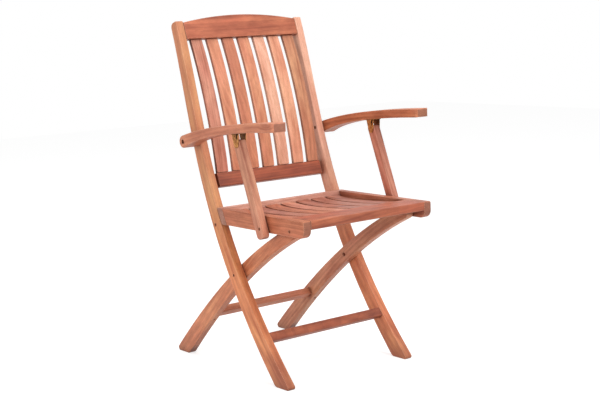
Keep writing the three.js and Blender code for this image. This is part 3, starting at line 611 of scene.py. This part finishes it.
def dress(node, name, mesh, material):
    mesh.shade_smooth()
    mesh.set_sharp_from_angle(angle=CURVE_ANGLE)
    mesh.materials.append(material)
    piece = bpy.data.objects.new(name, mesh)
    bpy.context.scene.collection.objects.link(piece)
    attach(piece, body_of[node])
    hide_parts(node)
    return piece


def dress_board(node, colours, seed, bent=False, **looks):
    mesh = joined_copy(node, f"{node}_board")
    material = teak(f"teak_{node}", colours, board_ways(mesh, bent), seed, **looks)
    piece = dress(node, f"{node}_board", mesh, material)
    weighted = piece.modifiers.new("flat faces stay flat", "WEIGHTED_NORMAL")
    weighted.keep_sharp = True


# %% [markdown]
# ## The tones of the boards
#
# Teak from one stack runs from straw to maroon, and the chair's maker used it as it came. Each tone below
# has three colours: the light wood, the same wood turned towards rose, and the dark of its rings and
# streaks. One table then gives every board its tone, its seed and what sets it apart: a bent grain, a foot,
# a knot, or how strongly its figure and its painted shade in the gaps show.

# %% Choose every board's tones
STRAW = ((226, 164, 112), (218, 142, 102), (192, 118, 80))
TAWNY = ((248, 172, 114), (240, 148, 100), (196, 106, 64))
OAT = ((252, 199, 168), (248, 184, 158), (213, 145, 117))
SHELL = ((254, 202, 170), (250, 188, 160), (220, 152, 122))
PALE = ((252, 190, 152), (248, 172, 140), (206, 130, 98))
PEACH = ((240, 174, 132), (234, 152, 120), (192, 114, 82))
AMBER = ((224, 146, 98), (208, 124, 88), (158, 84, 50))
HONEY = ((246, 168, 120), (236, 146, 106), (184, 104, 68))
SIENNA = ((227, 145, 103), (216, 127, 91), (164, 88, 58))
CHESTNUT = ((252, 172, 118), (242, 148, 106), (202, 110, 72))
CLAY = ((214, 138, 104), (204, 120, 92), (152, 82, 56))
FAWN = ((228, 166, 124), (216, 142, 108), (168, 100, 70))
GINGER = ((228, 150, 112), (216, 134, 104), (172, 98, 70))
BISQUE = ((228, 164, 130), (218, 140, 112), (174, 104, 78))
ROSE = ((230, 166, 138), (220, 140, 118), (174, 100, 76))
BLUSH = ((238, 182, 158), (230, 164, 144), (182, 118, 98))
DUSK = ((204, 136, 112), (192, 120, 100), (142, 80, 62))
RUSSET = ((216, 130, 92), (204, 112, 80), (152, 76, 50))
BRICK = ((204, 118, 82), (192, 100, 70), (144, 70, 46))
MAROON = ((188, 104, 70), (176, 88, 60), (126, 58, 38))
print("light wood, from straw to maroon:", STRAW[0], MAROON[0])

# %% Dress the frame's boards
BOARDS = {
    "stile_right": (STRAW, 11, {
        "bent": True, "ring_width": 0.008, "figure": 0.8,
        "foot_colours": TAWNY, "foot_stain": 0.6, "shade_share": 0.3,
    }),
    "stile_left": (OAT, 12, {
        "bent": True, "figure": 0.8,
        "foot_colours": CHESTNUT, "foot_stain": 0.6, "shade_share": 0.1,
    }),
    "top_rail": (RUSSET, 13, {"ring_width": 0.009}),
    "lower_back_rail": (MAROON, 14, {"shade_share": 0.2}),
    "front_crossbar": (MAROON, 15, {}),
    "rear_leg_right": (HONEY, 16, {"bent": True, "foot_stain": 0.3}),
    "rear_leg_left": (PEACH, 17, {"bent": True, "foot_stain": 0.3}),
    "rear_crossbar": (PEACH, 18, {}),
    "rear_crossbar_dowel_left": (RUSSET, 19, {}),
    "rear_crossbar_dowel_right": (RUSSET, 20, {}),
    "seat_side_rail_right": (SIENNA, 21, {"knot": (-0.19, -0.03, 0.414), "knot_size": 0.01}),
    "seat_side_rail_left": (CLAY, 22, {}),
    "seat_front_rail": (BRICK, 23, {}),
    "seat_rear_rail": (BLUSH, 24, {}),
    "armrest_right": (GINGER, 25, {
        "bent": True, "figure": 0.6,
        "knot": (-0.252, -0.235, 0.652), "knot_size": 0.009,
    }),
    "armrest_left": (AMBER, 26, {"bent": True}),
    "arm_support_right": (BISQUE, 27, {}),
    "arm_support_left": (ROSE, 28, {}),
}

for node, (colours, seed, looks) in BOARDS.items():
    dress_board(node, colours, seed, **looks)
print("boards dressed:", len(BOARDS))

# %% Dress the slats
BACK_TONES = (ROSE, PEACH, GINGER, PEACH, SHELL, PALE, FAWN)
SEAT_TONES = (CLAY, DUSK, CLAY, ROSE, DUSK, DUSK, DUSK)
SLAT_LOOKS = {"ring_width": 0.005, "shade_share": 0.95}
BACK_SEED = 40
SEAT_SEED = 60

for number, (back_colours, seat_colours) in enumerate(zip(BACK_TONES, SEAT_TONES), start=1):
    dress_board(f"back_slat_{number}", back_colours, BACK_SEED + number, bent=True, figure=0.8, **SLAT_LOOKS)
    dress_board(f"seat_slat_{number}", seat_colours, SEAT_SEED + number, **SLAT_LOOKS)
print("slats dressed:", len(BACK_TONES) + len(SEAT_TONES))

# %% [markdown]
# ## Brass and browned steel
#
# The brackets, the pins in them and the seat's hooks are brass that has lost its shine, so its colour is
# uneven and the polish is broken by fine rubbed lines. The pins in the wood, the arm bolts and the rod have
# been browned by the teak's oil and the weather, which is why they read as small red-brown dots in the
# wood. A plain metallic shader would look new and far too clean, so both use one group for the dull film.

# %% Group: dull film
FILM_RANGE = (0.35, 0.65)
RUB_STRETCH = (1.0, 0.08, 1.0)
PATCH_DETAIL = 3.0
RUB_DETAIL = 2.0

film_group, given, result = open_group(
    "dull film",
    {"Patch size": "Float", "Rub size": "Float"},
    {"Film": "Float", "Rubbing": "Float"},
)
tree = film_group
place = add_node(tree, "ShaderNodeTexCoord").outputs["Object"]
patches_per_metre = sums(tree, "DIVIDE", 1.0, given["Patch size"])
inputs = {"Vector": place, "Scale": patches_per_metre, "Detail": PATCH_DETAIL}
patches = add_node(tree, "ShaderNodeTexNoise", inputs).outputs[0]
tree.links.new(stretched_range(tree, patches, *FILM_RANGE), result["Film"])
rubs_per_metre = sums(tree, "DIVIDE", 1.0, given["Rub size"])
rubbed_place = vector_sums(tree, "MULTIPLY", place, RUB_STRETCH)
inputs = {"Vector": rubbed_place, "Scale": rubs_per_metre, "Detail": RUB_DETAIL}
tree.links.new(add_node(tree, "ShaderNodeTexNoise", inputs).outputs[0], result["Rubbing"])
print("dull film: nodes", len(tree.nodes))

# %% Materials: dull brass and browned steel
METAL_EDGE = 0.0004
FILM_SIZES = {"Patch size": 0.006, "Rub size": 0.0006}
BRIGHT_EDGE_SHARE = 0.5
METAL_PAINTED_SHADE = screen(72, 34, 22)
FILM_ROUGHNESS = 0.15
RUB_ROUGHNESS = 0.1
RUB_BUMP = (0.2, 0.0001)


def dulled_metal(name, bright, dull, roughness, metallic, shade_share):
    material, tree, shader = new_material(name)
    film = use_group(tree, film_group, FILM_SIZES)
    edge = use_group(tree, edge_group, {"Radius": METAL_EDGE})
    gap_shade = use_group(tree, gap_shade_group, {"Reach": SHADE_REACH})
    colour = mixed(tree, film["Film"], bright, dull)
    colour = tinted(tree, colour, edge["Mask"], BRIGHT_EDGE_SHARE, bright)
    # Painted shade: the metal turns darker in narrow hollows, such as between the bracket's ears.
    colour = tinted(tree, colour, gap_shade["Mask"], shade_share, METAL_PAINTED_SHADE)
    tree.links.new(colour, shader.inputs["Base Color"])
    rough = sums(tree, "MULTIPLY_ADD", film["Film"], FILM_ROUGHNESS, roughness)
    rough = sums(tree, "ADD", rough, sums(tree, "MULTIPLY", film["Rubbing"], RUB_ROUGHNESS))
    tree.links.new(rough, shader.inputs["Roughness"])
    add_bump(tree, shader, film["Rubbing"], edge["Normal"], *RUB_BUMP)
    shader.inputs["Metallic"].default_value = metallic
    return material


brass = dulled_metal(
    "dull_brass", screen(214, 156, 92), screen(150, 96, 54), roughness=0.38, metallic=0.9, shade_share=0.8
)
browned_steel = dulled_metal(
    "browned_steel", screen(150, 84, 50), screen(98, 48, 28), roughness=0.5, metallic=0.45, shade_share=0.4
)
print("metals:", brass.name, browned_steel.name)

# %% [markdown]
# ## The bracket's ears
#
# The real bracket is a folded strip: a plate under the arm and two broad cheeks that taper to a round end
# and hold the support's top between them. The solid's ears are narrow straps. Only their outline is wrong,
# so its corners are spread along the plate, more at the plate than at the pin, and the round end grows with
# them.

# %% Broaden the ears
EAR_HALF = 0.006
HALF_AT_PLATE = 0.0135
HALF_AT_PIN = 0.0095
SLACK = 0.0003
END_SLACK = 0.001


def plate_direction(mesh):
    spots = [vertex.co for vertex in mesh.vertices]
    ends = []
    for pick in (min, max):
        far = pick(spot.y for spot in spots)
        ends.append(max((spot for spot in spots if abs(spot.y - far) < END_SLACK), key=lambda spot: spot.z))
    along = ends[1] - ends[0]
    return Vector((0, along.y, along.z)).normalized()


def broaden_ears(mesh, pin_node):
    along = plate_direction(mesh)
    down = Vector((0, along.z, -along.y))
    low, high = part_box(pin_node)
    pin = (low + high) / 2
    moved = 0
    for vertex in mesh.vertices:
        offset = vertex.co - pin
        sideways, below = offset.dot(along), offset.dot(down)
        if below < -SLACK and abs(abs(sideways) - EAR_HALF) < SLACK:
            vertex.co += along * math.copysign(HALF_AT_PLATE - EAR_HALF, sideways)
        elif below >= -SLACK and math.hypot(sideways, below) > EAR_HALF - SLACK and below < 2 * EAR_HALF:
            growth = HALF_AT_PIN / EAR_HALF - 1
            vertex.co += along * sideways * growth + down * below * growth
        else:
            continue
        moved += 1
    return moved


print("ears at the plate and at the pin, mm wide:", 2000 * HALF_AT_PLATE, 2000 * HALF_AT_PIN)

# %% Dress the metal pieces
METALS = {"brass": brass, "steel": browned_steel}
metal_nodes = [node for node, slot in slot_of.items() if slot in METALS]

for node in metal_nodes:
    mesh = joined_copy(node, f"{node}_metal")
    material = METALS[slot_of[node]]
    if node.startswith("arm_bracket"):
        print(node, "ear corners moved:", broaden_ears(mesh, node.replace("arm_bracket", "support_top_pin")))
    if node.startswith("arm_pivot_bolt"):
        material = browned_steel
    dress(node, f"{node}_metal", mesh, material)
print("metal pieces dressed:", len(metal_nodes))

# %% [markdown]
# ## Brass screws
#
# The brackets and the hooks are held with small slotted screws. A screw head is a low dome with a straight
# slot, modelled as two half domes on a thin disc, so that the slot is a real groove. A ray that is cast at
# the plate says where it is met and which way it faces there, and the screw is set on that spot. Asking for
# the plate's nearest point would be simpler, but that point can lie on an ear's side. The heads are nearly
# flush, as they are on the real bracket, because the support swings close past them.

# %% Model a slotted screw head
SCREW_RADIUS = 0.0027
SCREW_RISE = 0.0004
SLOT_WIDTH = 0.0007
ROUND_STEPS = 20
# Each ring of the dome: its share of the radius, and its share of the rise.
DOME_RINGS = ((1.0, 0.0), (0.92, 0.55), (0.7, 0.85), (0.35, 1.0))


def half_dome(work, side):
    start = math.asin(SLOT_WIDTH / 2 / SCREW_RADIUS)
    rims = []
    for share, rise in DOME_RINGS:
        rim = []
        for step in range(ROUND_STEPS // 2 + 1):
            angle = start + (math.pi - 2 * start) * step / (ROUND_STEPS // 2)
            x = SCREW_RADIUS * share * math.cos(angle)
            y = max(SCREW_RADIUS * share * math.sin(angle), SLOT_WIDTH / 2)
            rim.append(work.verts.new((side * x, side * y, SCREW_RISE * rise)))
        rims.append(rim)
    for lower, upper in zip(rims, rims[1:]):
        for step in range(len(lower) - 1):
            work.faces.new((lower[step], lower[step + 1], upper[step + 1], upper[step]))
        work.faces.new((lower[0], upper[0], upper[-1], lower[-1]))
    work.faces.new(rims[-1])
    work.faces.new(list(reversed(rims[0])))


# %% Model the whole screw
DISC_TAPER = 0.98
DISC_DEPTH = 0.3
DISC_SINK = 0.1


def screw_mesh():
    work = bmesh.new()
    half_dome(work, 1)
    half_dome(work, -1)
    bmesh.ops.create_cone(
        work,
        cap_ends=True,
        segments=ROUND_STEPS,
        radius1=SCREW_RADIUS,
        radius2=SCREW_RADIUS * DISC_TAPER,
        depth=SCREW_RISE * DISC_DEPTH,
        matrix=Matrix.Translation((0, 0, -SCREW_RISE * DISC_SINK)),
    )
    bmesh.ops.recalc_face_normals(work, faces=work.faces)
    mesh = bpy.data.meshes.new("slotted_screw")
    work.to_mesh(mesh)
    work.free()
    mesh.materials.append(brass)
    return mesh


print("a screw head, mm across and high:", 2000 * SCREW_RADIUS, 1000 * SCREW_RISE)

# %% Set the screws
PLATE_INSET = 0.004
HOOK_SCREW_DROPS = (0.005, 0.014)
HOOK_CLEARANCE = 0.02
BRACKET_SLOT_TURN = 0.6
HOOK_SLOT_TURN = 0.9
UPWARD = Vector((0, 0, 1))
FORWARD = Vector((0, -1, 0))


def set_screw(name, node, start, way, turn):
    found, spot, normal, _ = bpy.data.objects[f"{node}_metal"].ray_cast(start, way)
    if not found:
        raise RuntimeError(f"{name} meets no plate")
    piece = bpy.data.objects.new(name, screw_mesh())
    bpy.context.scene.collection.objects.link(piece)
    facing = normal.to_track_quat("Z", "Y").to_matrix().to_4x4()
    piece.matrix_world = Matrix.Translation(spot) @ facing @ Matrix.Rotation(turn, 4, "Z")
    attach(piece, body_of[node])
    print(name, "at, mm:", [round(1000 * v, 1) for v in spot], "facing", [round(v, 2) for v in normal])


bpy.context.view_layer.update()
for side in ("left", "right"):
    low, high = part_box(f"arm_bracket_{side}")
    middle = (low + high) / 2
    for end, y in (("front", low.y + PLATE_INSET), ("rear", high.y - PLATE_INSET)):
        start = Vector((middle.x, y, low.z))
        name = f"bracket_screw_{side}_{end}"
        set_screw(name, f"arm_bracket_{side}", start, UPWARD, BRACKET_SLOT_TURN)
    low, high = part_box(f"seat_hook_{side}")
    middle = (low + high) / 2
    for place, drop in zip(("top", "bottom"), HOOK_SCREW_DROPS):
        start = Vector((middle.x, high.y + HOOK_CLEARANCE, high.z - drop))
        set_screw(f"hook_screw_{side}_{place}", f"seat_hook_{side}", start, FORWARD, HOOK_SLOT_TURN)

# %% [markdown]
# ## Floor, background and light
#
# The picture shows the chair on pure white with hardly a shadow. White comes from what the camera sees, not
# from more light on the wood: the world answers camera and mirror rays with white and lights the chair
# less. The floor adds a glow that only those same rays see, and its own soft shadow stays. Three large soft
# lamps do the rest: a main one from the front, a weaker one from the side and one from above.

# %% Light from all round
WHITE = (1, 1, 1, 1)
WORLD_ON_WOOD = 0.5
WORLD_SEEN = 1.0


def seen_in_picture(tree):
    ray = add_node(tree, "ShaderNodeLightPath").outputs
    mirrored = sums(tree, "MAXIMUM", ray["Is Glossy Ray"], ray["Is Transmission Ray"])
    return sums(tree, "MAXIMUM", ray["Is Camera Ray"], mirrored)


world = bpy.data.worlds.new("white studio")
bpy.context.scene.world = world
world.use_nodes = True
tree = world.node_tree
tree.nodes.clear()
lighting = add_node(tree, "ShaderNodeBackground", {"Color": WHITE, "Strength": WORLD_ON_WOOD}).outputs[0]
shown = add_node(tree, "ShaderNodeBackground", {"Color": WHITE, "Strength": WORLD_SEEN}).outputs[0]
chosen = add_node(tree, "ShaderNodeMixShader", {0: seen_in_picture(tree), 1: lighting, 2: shown})
add_node(tree, "ShaderNodeOutputWorld", {"Surface": chosen.outputs[0]})
print("world strength on the wood:", WORLD_ON_WOOD)

# %% The white floor
FLOOR_SIZE = 14
FLOOR_GLOW = 0.66
PAPER = {
    "Base Color": (0.62, 0.62, 0.62, 1),
    "Roughness": 0.9,
    "Specular IOR Level": 0.0,
    "Emission Color": WHITE,
}

bpy.ops.mesh.primitive_plane_add(size=FLOOR_SIZE, location=(0, 0, 0))
floor = bpy.context.object
floor.name = "white_floor"
paper, tree, shader = new_material("white_paper")
for socket, value in PAPER.items():
    shader.inputs[socket].default_value = value
glow = sums(tree, "MULTIPLY", seen_in_picture(tree), FLOOR_GLOW)
tree.links.new(glow, shader.inputs["Emission Strength"])
floor.data.materials.append(paper)
floor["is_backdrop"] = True
print("floor, m across:", FLOOR_SIZE)

# %% The soft lamps
LIT_POINT = Vector((0, 0, 0.45))
# Each lamp: its place and its width in metres, and its watts.
LAMPS = {
    "main_lamp": ((0.3, -2.5, 2.9), 2.2, 60),
    "side_lamp": ((-3.0, -0.8, 1.3), 2.0, 32),
    "top_lamp": ((0.2, 0.4, 3.2), 2.4, 25),
}

for name, (place, width, watts) in LAMPS.items():
    lamp = bpy.data.lights.new(name, "AREA")
    lamp.shape = "DISK"
    lamp.size = width
    lamp.energy = watts
    holder = bpy.data.objects.new(name, lamp)
    bpy.context.scene.collection.objects.link(holder)
    holder.location = place
    holder.rotation_euler = (Vector(place) - LIT_POINT).to_track_quat("Z", "Y").to_euler()
print("lamps:", ", ".join(LAMPS))

# %% [markdown]
# ## Sizes, and the end
#
# The dressed chair must be exactly as large as the solids it was made from, so both boxes are written down.

# %% Write both boxes
dressed_low, dressed_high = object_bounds()
growth = [
    round(1000 * max(abs(a - b) for a, b in zip(one, other)), 2)
    for one, other in ((cad_low, dressed_low), (cad_high, dressed_high))
]
print("the dressing moved the box's corners by, mm:", growth)
